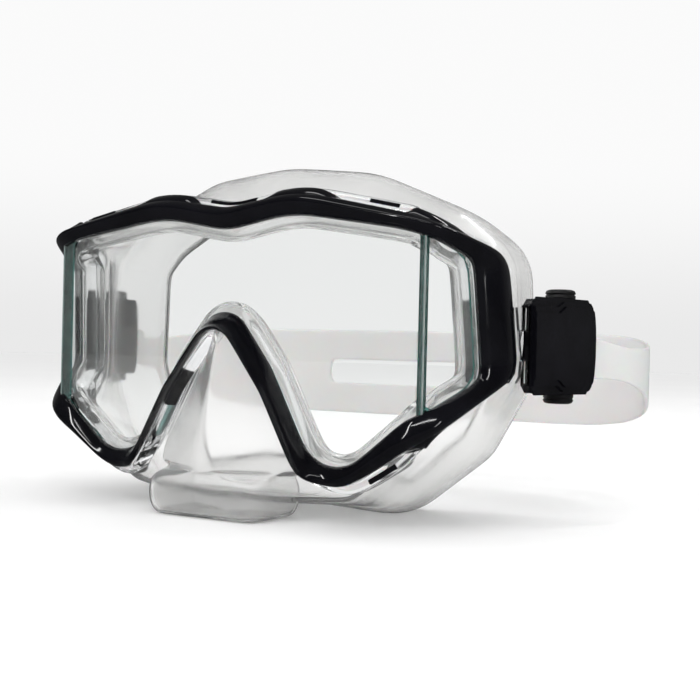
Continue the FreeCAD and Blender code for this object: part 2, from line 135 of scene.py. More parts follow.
FOOT_SQUARE = 0.32       # power that squares the foot's plan
PROW_ROUND = 0.03        # rounds the prow's edge
WALL_BACK = 4.0


# ---------------------------------------------------------------- outlines
def both_sides(half):
    """The closed outline made of a half outline and its mirror image."""
    return half + [(-x, z, r) for x, z, r in reversed(half) if x > 0]


def rounded(outline):
    """Points along an outline with an arc at each corner, the same count for each outline alike."""
    corners = [Vector((x, z)) for x, z, _ in outline]
    count = len(outline)
    starts, arcs = [], []
    for i in range(count):
        corner, radius = corners[i], outline[i][2]
        a = (corners[i - 1] - corner).normalized()
        b = (corners[(i + 1) % count] - corner).normalized()
        half = a.angle(b) / 2
        start = corner + a * (radius / math.tan(half))
        end = corner + b * (radius / math.tan(half))
        centre = corner + (a + b).normalized() * (radius / math.sin(half))
        arc = []
        for k in range(ARC_PARTS + 1):
            chord = start.lerp(end, k / ARC_PARTS) - centre
            arc.append(centre + chord.normalized() * radius)
        starts.append(start)
        arcs.append(arc)
    route = []
    for i in range(count):
        route += arcs[i]
        step = (starts[(i + 1) % count] - arcs[i][-1]) / STRAIGHT_PARTS
        route += [arcs[i][-1] + step * k for k in range(1, STRAIGHT_PARTS)]
    return np.array([[p.x, p.y] for p in route])


def soften(route, passes):
    """Evens out a closed route so that arcs and straights flow into each other."""
    for _ in range(passes):
        route = 0.5 * route + 0.25 * (np.roll(route, 1, axis=0) + np.roll(route, -1, axis=0))
    return route


def outwards(route):
    """Unit normals of a closed clockwise route, pointing away from its inside."""
    along = np.roll(route, -1, axis=0) - np.roll(route, 1, axis=0)
    normal = np.stack([-along[:, 1], along[:, 0]], axis=1)
    return normal / np.linalg.norm(normal, axis=1)[:, None]


def bent(across, up, depth):
    """Points of the frame: laid on the panes, with a round corner in plan. Result in millimetres."""
    across, up, depth = np.broadcast_arrays(across, up, depth)
    flat_half = PANE_HALF - BEND_R * math.tan(PANE_TURN / 2)
    past = np.abs(across) - flat_half
    angle = np.clip(past / BEND_R, 0.0, PANE_TURN)
    beyond = np.clip(past - BEND_R * PANE_TURN, 0.0, None)
    x = flat_half + (BEND_R - depth) * np.sin(angle) + beyond * math.cos(PANE_TURN)
    y = BEND_R - (BEND_R - depth) * np.cos(angle) + beyond * math.sin(PANE_TURN)
    x = np.where(past < 0, across, np.copysign(x, across))
    y = np.where(past < 0, depth, y)
    return np.stack([x, y, up], axis=-1)


window = soften(rounded(both_sides(WINDOW)), 3)
ring = soften(rounded(both_sides(RING)), 3)
frame_edge = soften(rounded(both_sides(FRAME)), 3)
window_out = outwards(window)
ring_out = outwards(ring)
frame_out = outwards(frame_edge)


def nose_share(route):
    """1 on the arch and legs round the nose, 0 elsewhere, with a smooth change."""
    across = np.abs(route[:, 0])
    up = route[:, 1]
    inside = np.clip((40.0 - across) / 6.0, 0, 1) * np.clip((up - 5.0) / 9.0, 0, 1)
    inside = inside * (up < 80.0)
    return inside * inside * (3 - 2 * inside)


# ---------------------------------------------------------------- mesh helpers
def add_mesh(name, points, faces):
    """A smooth shaded mesh from points in millimetres."""
    mesh = bpy.data.meshes.new(name)
    mesh.from_pydata([tuple(p) for p in np.asarray(points) * MM], [], faces)
    mesh.validate()
    obj = bpy.data.objects.new(name, mesh)
    bpy.context.scene.collection.objects.link(obj)
    for polygon in mesh.polygons:
        polygon.use_smooth = True
    return obj


def grid_faces(rows, columns, wrap_rows, wrap_columns):
    faces = []
    for i in range(rows if wrap_rows else rows - 1):
        for j in range(columns if wrap_columns else columns - 1):
            a = i * columns + j
            b = i * columns + (j + 1) % columns
            c = ((i + 1) % rows) * columns + (j + 1) % columns
            d = ((i + 1) % rows) * columns + j
            faces.append((a, b, c, d))
    return faces


def add_grid(name, points, wrap_rows=True, wrap_columns=True):
    """A mesh from an array of rows of points."""
    rows, columns = points.shape[:2]
    return add_mesh(name, points.reshape(-1, 3), grid_faces(rows, columns, wrap_rows, wrap_columns))


def recalculate_normals(obj):
    work = bmesh.new()
    work.from_mesh(obj.data)
    bmesh.ops.recalc_face_normals(work, faces=work.faces)
    work.to_mesh(obj.data)
    work.free()


def subdivide(obj):
    modifier = obj.modifiers.new("smooth", "SUBSURF")
    modifier.levels = 1
    modifier.render_levels = 1
    return obj


def bevel(obj, width, segments=3, angle=35):
    modifier = obj.modifiers.new("edges", "BEVEL")
    modifier.width = width * MM
    modifier.segments = segments
    modifier.limit_method = "ANGLE"
    modifier.angle_limit = math.radians(angle)
    modifier.harden_normals = True
    return obj


def solidify(obj, thickness):
    modifier = obj.modifiers.new("wall", "SOLIDIFY")
    modifier.thickness = thickness * MM
    modifier.offset = 0.0
    return obj


def join(name, objects):
    for obj in bpy.context.selected_objects:
        obj.select_set(False)
    for obj in objects:
        obj.select_set(True)
    bpy.context.view_layer.objects.active = objects[0]
    bpy.ops.object.join()
    objects[0].name = name
    return objects[0]


def extruded(name, outline, low, high):
    """Prism of a plan outline [(x, y)] from height low to high, in millimetres."""
    count = len(outline)
    points = [(x, y, low) for x, y in outline] + [(x, y, high) for x, y in outline]
    faces = [tuple(reversed(range(count))), tuple(range(count, 2 * count))]
    faces += [(i, (i + 1) % count, count + (i + 1) % count, count + i) for i in range(count)]
    obj = add_mesh(name, points, faces)
    recalculate_normals(obj)
    return obj


def mirrored(obj, name):
    """A copy of the left piece on the right side."""
    copy = obj.copy()
    copy.data = obj.data.copy()
    copy.name = name
    bpy.context.scene.collection.objects.link(copy)
    flip = Matrix.Diagonal((-1, 1, 1, 1))
    copy.data.transform(flip)
    copy.data.flip_normals()
    return copy


# ---------------------------------------------------------------- materials
class Nodes:
    """A material and short ways to add nodes to it."""

    def __init__(self, name):
        self.material = bpy.data.materials.new(name)
        self.material.use_nodes = True
        self.tree = self.material.node_tree
        self.shader = self.tree.nodes["Principled BSDF"]
        self.output = self.tree.nodes["Material Output"]
        self.place = self.tree.nodes.new("ShaderNodeTexCoord").outputs["Object"]

    def add(self, kind, **values):
        node = self.tree.nodes.new("ShaderNode" + kind)
        for key, value in values.items():
            if hasattr(node, key):
                setattr(node, key, value)
            else:
                node.inputs[key.replace("_", " ")].default_value = value
        return node

    def link(self, source, target):
        self.tree.links.new(source, target)

    def noise(self, scale, detail=3.0, roughness=0.5):
        node = self.add("TexNoise", Scale=scale, Detail=detail, Roughness=roughness)
        self.link(self.place, node.inputs["Vector"])
        return node.outputs["Fac"]

    def ramp(self, source, low, high, start=0.35, end=0.65):
        node = self.add("MapRange")
        node.inputs["From Min"].default_value = start
        node.inputs["From Max"].default_value = end
        node.inputs["To Min"].default_value = low
        node.inputs["To Max"].default_value = high
        self.link(source, node.inputs["Value"])
        return node.outputs["Result"]

    def mix_colour(self, source, low, high):
        node = self.add("ValToRGB")
        node.color_ramp.elements[0].color = (*low, 1)
        node.color_ramp.elements[1].color = (*high, 1)
        node.color_ramp.elements[0].position = 0.3
        node.color_ramp.elements[1].position = 0.7
        self.link(source, node.inputs["Fac"])
        self.link(node.outputs["Color"], self.shader.inputs["Base Color"])

    def roughness(self, source, low, high):
        self.link(self.ramp(source, low, high), self.shader.inputs["Roughness"])

    def bump(self, source, distance_mm, strength=1.0):
        node = self.add("Bump", Strength=strength)
        node.inputs["Distance"].default_value = distance_mm * MM
        self.link(source, node.inputs["Height"])
        self.link(node.outputs["Normal"], self.shader.inputs["Normal"])

    def set(self, **values):
        for key, value in values.items():
            self.shader.inputs[key.replace("_", " ")].default_value = value


def gloss_black():
    m = Nodes("gloss_black")
    m.mix_colour(m.noise(60), (0.002, 0.002, 0.003), (0.005, 0.005, 0.007))
    m.roughness(m.noise(220, 4), 0.05, 0.10)
    m.bump(m.noise(90, 2), 0.04, 0.25)
    m.set(IOR=1.48)
    return m.material


def satin_black():
    m = Nodes("satin_black")
    m.mix_colour(m.noise(90), (0.002, 0.002, 0.003), (0.005, 0.005, 0.007))
    m.roughness(m.noise(500, 4), 0.12, 0.20)
    m.bump(m.noise(2600, 2), 0.004, 0.4)
    m.set(IOR=1.42)
    return m.material


def matte_black():
    m = Nodes("button_black")
    m.mix_colour(m.noise(120), (0.004, 0.004, 0.005), (0.008, 0.008, 0.009))
    m.roughness(m.noise(700, 4), 0.36, 0.5)
    m.bump(m.noise(3000, 3), 0.02, 0.6)
    return m.material


def clear_plastic():
    m = Nodes("clear_plastic")
    m.mix_colour(m.noise(40), (0.955, 0.965, 0.975), (0.985, 0.99, 0.995))
    m.roughness(m.noise(150, 3), 0.01, 0.045)
    m.bump(m.noise(70, 2), 0.08, 0.35)
    m.set(Transmission_Weight=1.0, IOR=1.5)
    return m.material


def clear_silicone():
    m = Nodes("clear_silicone")
    m.mix_colour(m.noise(30), (0.955, 0.955, 0.95), (0.985, 0.985, 0.98))
    m.roughness(m.noise(120, 3), 0.10, 0.19)
    m.bump(m.noise(45, 2), 0.2, 0.4)
    m.set(Transmission_Weight=0.92, IOR=1.36)
    return m.material


def milky_silicone():
    m = Nodes("milky_silicone")
    m.mix_colour(m.noise(50), (0.90, 0.905, 0.905), (0.94, 0.94, 0.94))
    m.roughness(m.noise(300, 3), 0.32, 0.45)
    m.bump(m.noise(900, 2), 0.02, 0.6)
    m.set(Transmission_Weight=0.45, IOR=1.4, Subsurface_Weight=0.3, Subsurface_Scale=0.004)
    return m.material


def lens_glass():
    m = Nodes("lens_glass")
    m.mix_colour(m.noise(20), (0.975, 0.99, 0.985), (0.99, 1.0, 0.995))
    m.roughness(m.noise(35, 4), 0.0, 0.006)
    m.set(Transmission_Weight=1.0, IOR=1.5)
    return m.material


def glass_edge():
    m = Nodes("glass_edge")
    m.mix_colour(m.noise(160), (0.01, 0.16, 0.13), (0.05, 0.30, 0.25))
    m.roughness(m.noise(300, 4), 0.08, 0.25)
    m.set(Transmission_Weight=0.7, IOR=1.5)
    return m.material


def bond_seam():
    m = Nodes("bond_seam")
    m.mix_colour(m.noise(200), (0.78, 0.86, 0.85), (0.88, 0.93, 0.92))
    m.roughness(m.noise(300), 0.12, 0.25)
    m.set(Transmission_Weight=0.8, IOR=1.45)
    return m.material


def bright_steel():
    m = Nodes("bright_steel")
    m.mix_colour(m.noise(200), (0.56, 0.56, 0.58), (0.66, 0.66, 0.68))
    m.roughness(m.noise(900, 4), 0.18, 0.32)
    m.bump(m.noise(2500, 2), 0.006, 0.5)
    m.set(Metallic=1.0)
    return m.material


def pale_floor():
    """Pale to the eye and to light, dim in mirror reflections so that the black parts stay deep."""
    m = Nodes("pale_floor")
    m.mix_colour(m.noise(6), (0.92, 0.92, 0.92), (0.94, 0.94, 0.938))
    m.roughness(m.noise(40), 0.6, 0.7)
    dim = m.add("BsdfDiffuse")
    dim.inputs["Color"].default_value = (0.07, 0.07, 0.072, 1)
    path = m.add("LightPath").outputs
    mirrored_only = m.add("Math", operation="SUBTRACT", use_clamp=True)
    m.link(path["Is Glossy Ray"], mirrored_only.inputs[0])
    m.link(path["Is Transmission Ray"], mirrored_only.inputs[1])
    blend = m.add("MixShader")
    m.link(mirrored_only.outputs["Value"], blend.inputs["Fac"])
    m.link(m.shader.outputs["BSDF"], blend.inputs[1])
    m.link(dim.outputs["BSDF"], blend.inputs[2])
    m.link(blend.outputs["Shader"], m.output.inputs["Surface"])
    return m.material


MATERIALS = {
    "gloss_black": gloss_black(), "satin_black": satin_black(), "button_black": matte_black(),
    "clear_frame": clear_plastic(), "clear_silicone": clear_silicone(),
    "milky_silicone": milky_silicone(), "glass": lens_glass(), "glass_edge": glass_edge(),
    "bond": bond_seam(), "steel": bright_steel(),
}


def finish_piece(obj, body, slot_name, *nodes):
    """Gives a piece its material and says what it rides on and stands for."""
    if not obj.data.materials:
        obj.data.materials.append(MATERIALS[slot_name])
    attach(obj, body)
    if nodes:
        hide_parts(*nodes)
    return obj


# ---------------------------------------------------------------- lenses
def pane_map(route, depth, left):
    """Flat pane points: the front pane, or the left pane turned back about its corner."""
    if not left:
        return np.stack([route[:, 0], np.full(len(route), depth), route[:, 1]], axis=1)
    beyond = route[:, 0] - PANE_HALF
    x = PANE_HALF + beyond * math.cos(PANE_TURN) - depth * math.sin(PANE_TURN)
    y = beyond * math.sin(PANE_TURN) + depth * math.cos(PANE_TURN)
    return np.stack([x, y, route[:, 1]], axis=1)


def clipped(route, limit, keep_low):
    """The closed route cut off at a value of across, keeping one side."""
    result = []
    for i in range(len(route)):
        a, b = route[i - 1], route[i]
        inside_a = (a[0] <= limit) == keep_low
        inside_b = (b[0] <= limit) == keep_low
        if inside_a != inside_b:
            share = (limit - a[0]) / (b[0] - a[0])
            result.append(a + (b - a) * share)
        if inside_b:
            result.append(b)
    return np.array(result)


def make_pane(name, route, left):
    """A glass pane with ground edges; its front and back follow the mitre."""
    slope = math.tan(PANE_TURN / 2)
    rings = []
    for depth, inset in ((0.0, ARRIS), (ARRIS, 0.0), (GLASS - ARRIS, 0.0), (GLASS, ARRIS)):
        shift = depth * slope + BOND / 2
        edge = route - outwards(route) * inset
        if left:
            edge = clipped(edge, PANE_HALF + shift + inset, False)
        else:
            edge = clipped(edge, PANE_HALF - shift - inset, True)
            edge = clipped(edge, -PANE_HALF + shift + inset, False)
        rings.append(edge)
    count = min(len(r) for r in rings)
    if any(len(r) != count for r in rings):
        rings = [resampled(r, count) for r in rings]
    depths = (0.0, ARRIS, GLASS - ARRIS, GLASS)
    points = np.concatenate([pane_map(r, d, left) for r, d in zip(rings, depths)])
    faces = grid_faces(4, count, False, True)
    faces += [tuple(range(count)), tuple(reversed(range(3 * count, 4 * count)))]
    obj = add_mesh(name, points, faces)
    recalculate_normals(obj)
    for polygon in obj.data.polygons:
        polygon.use_smooth = False
        polygon.material_index = 1 if len(polygon.vertices) == 4 else 0
    obj.data.materials.append(MATERIALS["glass"])
    obj.data.materials.append(MATERIALS["glass_edge"])
    return obj


def resampled(route, count):
    """A closed route with a number of points evenly spaced by length."""
    closed = np.vstack([route, route[:1]])
    steps = np.linalg.norm(np.diff(closed, axis=0), axis=1)
    length = np.concatenate([[0], np.cumsum(steps)])
    wanted = np.linspace(0, length[-1], count, endpoint=False)
    return np.stack([np.interp(wanted, length, closed[:, i]) for i in range(2)], axis=1)


def make_lenses():
    edge = window + window_out * (SEAT - SEAT_PLAY)
    front = make_pane("front_pane", edge, False)
    finish_piece(front, "mask", "glass", "front_lens")
    left = make_pane("left_pane", edge, True)
    right = mirrored(left, "right_pane")
    finish_piece(left, "mask", "glass", "side_lens_left")
    finish_piece(right, "mask", "glass", "side_lens_right")


# ---------------------------------------------------------------- frame
# share of the way from window to ring, distance in from that line, depth, depth at the nose
BEZEL_PROFILE = [
    (0, 0.0, 0.2, 0.2), (0, 0.0, -1.0, -0.7), (0, 0.3, -2.0, -1.3), (0, 1.0, -2.8, -2.0),
    (0.40, 0, -3.9, -4.4), (0.56, 0, -4.4, -5.4), (0.66, 0, -4.5, -6.0), (0.78, 0, -4.0, -7.0),
    (1, -1.0, -2.9, -8.1), (1, -0.25, -1.8, -7.7), (1, 0, -0.4, -6.8), (1, 0, 1.6, -4.6),
    (1, -0.4, 2.0, -4.2), (1, -1.4, 2.0, -4.0), (0.5, 0, 1.0, -0.6)]


def make_bezel():
    across = ring - window
    direction = across / np.linalg.norm(across, axis=1)[:, None]
    nose = nose_share((ring + window) / 2)
    rows = []
    for share, inset, depth, nose_depth in BEZEL_PROFILE:
        route = window + across * share + direction * inset
        rows.append(bent(route[:, 0], route[:, 1], depth + (nose_depth - depth) * nose))
    obj = add_grid("bezel_ring", np.array(rows))
    recalculate_normals(obj)
    subdivide(obj)
    finish_piece(obj, "mask", "gloss_black", "bezel")


def frame_point(route, normal, distance, depth, shift=0.0):
    """A row of points beside a route; shift brings it forward round the nose."""
    moved = route + normal * distance
    return bent(moved[:, 0], moved[:, 1], depth - shift * nose_share(route))


def make_main_frame():
    outside = [(ring, ring_out, -1.2, 2.1), (ring, ring_out, -0.1, 1.9), (ring, ring_out, 0.6, 2.3),
               (frame_edge, frame_out, -0.9, 3.2), (frame_edge, frame_out, -0.1, 4.2),
               (frame_edge, frame_out, 0.0, 6.0), (frame_edge, frame_out, 0.2, FRAME_BACK - 1.2),
               (frame_edge, frame_out, -0.1, FRAME_BACK - 0.3), (frame_edge, frame_out, -1.0, FRAME_BACK)]
    rows = [frame_point(*place, NOSE_SHIFT) for place in outside]
    rows += [
        frame_point(window, window_out, 1.8, FRAME_BACK), frame_point(window, window_out, 1.0, 9.2),
        frame_point(window, window_out, 1.0, 6.6), frame_point(window, window_out, 1.8, 6.1),
        frame_point(window, window_out, 2.2, 3.0)]
    obj = add_grid("clear_frame", np.array(rows))
    recalculate_normals(obj)
    subdivide(obj)
    finish_piece(obj, "mask", "clear_frame", "main_frame")


def stretch(start, end, on_top, count=36):
    """Station numbers of the rings between two values of across, on the top or the lower run."""
    widest = int(np.argmax(ring[:, 0]))
    if on_top:
        part = np.arange(ARC_PARTS // 2, widest)
        ends = np.interp([start, end], ring[part, 0], part)
    else:
        part = np.arange(widest, len(ring) // 2 + ARC_PARTS // 2)
        ends = np.interp([start, end], ring[part, 0][::-1], part[::-1])
    return np.linspace(ends[0], ends[1], count)


def at(route, numbers):
    whole = np.arange(len(route))
    return np.stack([np.interp(numbers, whole, route[:, k]) for k in range(2)], axis=1)


RUN_TUCK = 0.25          # a faded end of a bar is drawn in by this much


def run_of(name, numbers, section, fade=0.0):
    """A closed bar along the rings, faded out at its ends.

    The section gives (share from ring to frame edge, mm beyond, depth, mm sunk where it fades).
    """
    inner, outer, normal = at(ring, numbers), at(frame_edge, numbers), at(frame_out, numbers)
    place = np.linspace(0, 1, len(numbers))
    size = np.ones(len(numbers))
    if fade:
        size = np.sin(np.clip(np.minimum(place, 1 - place) / fade, 0, 1) * math.pi / 2) ** 0.8
    rows = []
    for share, beyond, depth, sunk in section:
        proud = beyond * size - RUN_TUCK * (1 - size)
        route = inner + (outer - inner) * (share * size)[:, None] + normal * proud[:, None]
        shift = NOSE_SHIFT * nose_share(inner)
        rows.append(bent(route[:, 0], route[:, 1], depth + sunk * (1 - size) - shift))
    points = np.array(rows)
    count = len(numbers)
    faces = grid_faces(len(rows), count, True, False)
    faces.append(tuple(i * count for i in range(len(rows))))
    faces.append(tuple(i * count + count - 1 for i in reversed(range(len(rows)))))
    obj = add_mesh(name, points.reshape(-1, 3), faces)
    recalculate_normals(obj)
    return obj


def with_mirror(pieces):
    return pieces + [mirrored(piece, piece.name + "_r") for piece in pieces]


def make_laps():
    """Tongues of the black ring that lap over the clear frame."""
    section = [(-0.1, -0.3, -1.3, 0.3), (0.05, 0.1, -0.9, 0.3), (0.5, 0.1, 1.0, 0.2), (0.86, 0.1, 2.4, -0.6),
               (0.92, 0.0, 3.3, -1.0), (0.5, 0.0, 3.6, -0.8), (-0.1, -0.4, 2.6, 0.0)]
    broad = [(-0.1, -0.3, -1.3, 0.3), (0.05, 0.1, -0.9, 0.3), (0.6, 0.1, 1.2, 0.2), (1.0, 0.1, 3.3, -0.6),
             (1.0, 0.35, 6.2, -3.0), (0.8, 0.0, 6.2, -3.0), (-0.1, -0.4, 2.6, 0.0)]
    pieces = [run_of("lap", stretch(12.5, 41.0, True), section, 0.3),
              run_of("lap", stretch(63.5, 90.0, True), section, 0.35),
              run_of("lap", stretch(64.5, 86.0, False), broad, 0.5)]
    laps = join("bezel_laps", with_mirror(pieces))
    bevel(laps, 0.25, 2, 40)
    finish_piece(laps, "mask", "gloss_black")


def make_inlays():
    """Black clips let into the clear frame: bars on its front slope and patches on the nose legs."""
    bar = [(0.30, 0, 2.9, 0), (0.32, 0, 2.15, 0), (0.80, 0, 2.85, 0), (0.84, 0, 3.8, 0)]
    patch = [(-0.1, -0.3, 0.8, 0), (0.1, 0.0, 1.5, 0), (0.75, 0.0, 2.9, 0), (1, 0.14, 4.1, 0),
             (1, 0.25, 6.0, 0), (1, 0.42, 8.3, 0), (1, -0.6, 8.3, 0), (1, -1.2, 4.4, 0),
             (-0.1, -0.4, 2.8, 0)]
    pieces = [run_of("bar", stretch(50.5, 60.5, True, 12), bar),
              run_of("bar", stretch(52.0, 61.0, False, 12), bar),
              run_of("patch", stretch(21.0, 13.6, False, 16), patch)]
    middle = run_of("bar", stretch(0.0, 9.0, True, 12), bar)
    inlays = join("frame_inlays", with_mirror(pieces + [middle]))
    bevel(inlays, 0.2, 2, 40)
    finish_piece(inlays, "mask", "gloss_black", "frame_clips")


# ---------------------------------------------------------------- skirt
def face_loop(half, back, curve, inset=0.0):
    route = soften(rounded(both_sides(half)), 3)
    route = route - outwards(route) * inset
    y = back + curve * (route[:, 0] / FACE_HALF) ** 2
    return np.stack([route[:, 0], y, route[:, 1]], axis=1)


def neck_loop(distance, depth):
    route = soften(rounded(both_sides(SKIRT_NECK)), 3)
    route = route + outwards(route) * distance
    return bent(route[:, 0], route[:, 1], depth)


def make_skirt_body():
    rows = [
        neck_loop(0.6, 8.0), neck_loop(0.6, 11.0), neck_loop(2.2, 13.0),
        face_loop(SKIRT_FRONT, 21.0, 19.0, 3.0), face_loop(SKIRT_FRONT, 25.0, 19.0),
        face_loop(SKIRT_MIDDLE, 34.0, 20.0), face_loop(SKIRT_MIDDLE, 40.0, EYE_CURVE),
        face_loop(SKIRT_BACK, EYE_BACK, EYE_CURVE, -0.5),
        face_loop(SKIRT_BACK, EYE_BACK + 1.6, EYE_CURVE, 1.2),
        face_loop(SKIRT_BACK, EYE_BACK + 1.8, EYE_CURVE, 3.4),
        face_loop(SKIRT_BACK, EYE_BACK + 0.4, EYE_CURVE, 7.0),
        face_loop(SKIRT_BACK, EYE_BACK - 2.5, EYE_CURVE, 10.5)]
    body = add_grid("skirt_body", np.array(rows), wrap_rows=False)
    recalculate_normals(body)
    solidify(body, SKIRT_WALL)
    subdivide(body)
    return body


def make_skirt_collar():
    """The lip clamped behind the glass and the short wall behind it, round both eyes."""
    rows = [
        frame_point(window, window_out, 1.6, 4.3), frame_point(window, window_out, -2.6, 4.3),
        frame_point(window, window_out, -3.0, 5.0), frame_point(window, window_out, -2.6, 6.2),
        frame_point(window, window_out, -1.4, 8.0), frame_point(window, window_out, -0.4, 12.0)]
    collar = add_grid("skirt_collar", np.array(rows), wrap_rows=False)
    recalculate_normals(collar)
    solidify(collar, COLLAR_WALL)
    subdivide(collar)
    return collar


def make_nose_pocket():
    """Side walls that meet in a prow over a broad foot."""
    turns = np.linspace(-1, 1, 41)
    angle = turns * FOOT_TURN
    reach = np.sqrt(turns ** 2 + PROW_ROUND) - math.sqrt(PROW_ROUND)
    reach = reach / reach.max()
    rows = []
    for up in NOSE_LEVELS:
        prow = np.interp(up, PROW_LEVELS, PROW_DEPTHS)
        wall_half = float(np.interp(up, LEG_LEVELS, LEG_WIDTHS))
        wall = np.stack([wall_half * turns, prow + (WALL_BACK - prow) * reach], axis=1)
        foot_half = np.interp(up, FOOT_LEVELS, FOOT_WIDTHS)
        foot_front = np.interp(up, FOOT_LEVELS, FOOT_DEPTHS)
        sx = np.sign(np.sin(angle)) * np.abs(np.sin(angle)) ** FOOT_SQUARE * foot_half
        sy = np.sign(np.cos(angle)) * np.abs(np.cos(angle)) ** FOOT_SQUARE * (FOOT_MIDDLE - foot_front)
        foot = np.stack([sx, FOOT_MIDDLE - sy], axis=1)
        blend = float(np.clip((up - FOOT_TOP) / 2.0, 0, 1))
        plan = foot * (1 - blend) + wall * blend
        rows.append(np.concatenate([plan, np.full((len(turns), 1), up)], axis=1))
    closing = []
    for size in (0.02, 0.5):
        row = rows[0].copy()
        row[:, 0] *= size
        row[:, 1] = FOOT_MIDDLE + (row[:, 1] - FOOT_MIDDLE) * size
        closing.append(row)
    pocket = add_grid("nose_pocket", np.array(closing + rows), False, False)
    recalculate_normals(pocket)
    solidify(pocket, NOSE_WALL)
    subdivide(pocket)
    return pocket


def make_skirt():
    parts = [make_skirt_body(), make_skirt_collar(), make_nose_pocket()]
    for part in parts:
        finish_piece(part, "mask", "clear_silicone")
    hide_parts("skirt")


# ---------------------------------------------------------------- buckles and strap
ALONG = np.array([math.cos(BUCKLE_TURN), math.sin(BUCKLE_TURN), 0.0])
OUTWARDS = np.array([math.sin(BUCKLE_TURN), -math.cos(BUCKLE_TURN), 0.0])


def buckle_matrix():
    """From the buckle's own frame (x along it, y outwards) to the left side, in metres."""
    matrix = Matrix.Identity(4)
    for row in range(3):
        matrix[row][0] = ALONG[row]
        matrix[row][1] = OUTWARDS[row]
        matrix[row][3] = HINGE[row] * MM
    return matrix


def place_on_buckle(obj):
    obj.data.transform(buckle_matrix())
    recalculate_normals(obj)
    return obj


def side_prism(name, outline, y0, y1):
    """Prism of a side view outline [(x, z)] between two distances outwards, in the buckle's frame."""
    obj = extruded(name, outline, y0, y1)
    obj.data.transform(Matrix(((1, 0, 0, 0), (0, 0, 1, 0), (0, 1, 0, 0), (0, 0, 0, 1))))
    return obj


def both(outline_top):
    """Side view outline closed by its mirror image below."""
    return outline_top + [(x, -z) for x, z in reversed(outline_top)]


def housing_outline(front, grow=0.0):
    """Side view of the buckle: cut corners in front, a bulged edge at the rear."""
    high, rear = HOUSING_HALF + grow, HOUSING_REAR + grow
    top = [(front - grow, high - 2.4), (front + 2, high), (HOUSING_REAR - 1.6, high), (rear, 13.2)]
    bulge = [(rear + 1.5 * math.cos(a), 13.2 * math.sin(a)) for a in (1.2, 0.9, 0.6, 0.3)]
    return both(top + bulge)


def tier_outline(low, high, rear):
    """A raised field of the cover: low beside the hinge, stepped up past the middle, bulged at the rear."""
    top = [(COVER_FRONT + 0.4, low), (8.0, low), (11.4, high), (24.9, high)]
    bulge = [(25.5 + rear * math.cos(a), (high - 0.2) * math.sin(a)) for a in (1.15, 0.85, 0.55, 0.25)]
    return both(top + bulge)


def cut_out(obj, tool):
    """Takes the tool's volume out of a piece for good."""
    modifier = obj.modifiers.new("cut", "BOOLEAN")
    modifier.object = tool
    modifier.operation = "DIFFERENCE"
    modifier.solver = "EXACT"
    result = obj.evaluated_get(bpy.context.evaluated_depsgraph_get())
    mesh = bpy.data.meshes.new_from_object(result)
    obj.modifiers.clear()
    obj.data = mesh
    bpy.data.objects.remove(tool)
    return obj


def cut_pockets(obj):
    """Room for both release buttons and their stems to sink in."""
    for end in (1, -1):
        profile = [(0, BORE_END), (BORE_R, BORE_END), (BORE_R, POCKET_FLOOR), (POCKET_R, POCKET_FLOOR),
                   (POCKET_R, 20.0), (0, 20.0)]
        cut_out(obj, lathe("pocket", [(r, end * z) for r, z in profile], BUTTON_X, 0))
    return obj


def make_buckle_shells():
    housing = side_prism("buckle_housing_left", housing_outline(HOUSING_FRONT), HOUSING_IN, HOUSING_OUT)
    mouth = side_prism("mouth", both([(17.8, 10.8), (40.0, 10.8)]), -4.7, 4.2)
    cut_out(housing, mouth)
    cut_pockets(housing)
    half, eased = KNUCKLE_HALF, KNUCKLE_HALF - 0.3
    profile = [(0, -half), (KNUCKLE_R - 0.2, -half), (KNUCKLE_R, -eased), (KNUCKLE_R, eased),
               (KNUCKLE_R - 0.2, half), (0, half)]
    knuckle = lathe("knuckle", profile, 0, 0)
    web = side_prism("web", both([(0.5, 4.4), (5.4, 4.4)]), -2.2, 2.2)
    housing = join("buckle_housing_left", [housing, knuckle, web])
    place_on_buckle(housing)
    bevel(housing, 0.7, 3)
    tiers = [cut_pockets(side_prism("tier", housing_outline(COVER_FRONT, 0.15), 4.35, 5.2)),
             side_prism("tier", tier_outline(12.3, 14.1, 1.75), 5.1, 5.9),
             side_prism("tier", tier_outline(10.4, 12.6, 1.9), 5.8, 6.5)]
    cover = join("buckle_panel_left", tiers)
    place_on_buckle(cover)
    bevel(cover, 0.4, 3, 30)
    return housing, cover


def lathe(name, profile, x, y, segments=48):
    """A turned piece from [(radius, height)], about a vertical axis at (x, y) of the buckle's frame."""
    angles = np.linspace(0, 2 * math.pi, segments, endpoint=False)
    rows = [[(x + r * math.cos(a), y + r * math.sin(a), z) for a in angles] for r, z in profile]
    obj = add_grid(name, np.array(rows), wrap_rows=False)
    work = bmesh.new()
    work.from_mesh(obj.data)
    bmesh.ops.remove_doubles(work, verts=work.verts, dist=1e-7)
    bmesh.ops.recalc_face_normals(work, faces=work.faces)
    work.to_mesh(obj.data)
    work.free()
    return obj


def make_button(name, up):
    """A round knob with a groove round it and a dished top, on a stem."""
    profile = [(0, 11.0), (STEM_R, 11.0), (STEM_R, 14.8), (4.2, 14.8), (4.75, 15.1), (BUTTON_R, 15.6),
               (BUTTON_R, 16.3), (4.5, 16.45), (4.5, 16.7), (BUTTON_R, 16.85), (BUTTON_R, 17.2),
               (4.4, 17.9), (3.5, 18.2), (2.6, 18.15), (2.0, 18.0), (0, 17.95)]
    if not up:
        profile = [(r, -z) for r, z in profile]
    button = lathe(name, profile, BUTTON_X, 0)
    place_on_buckle(button)
    return button


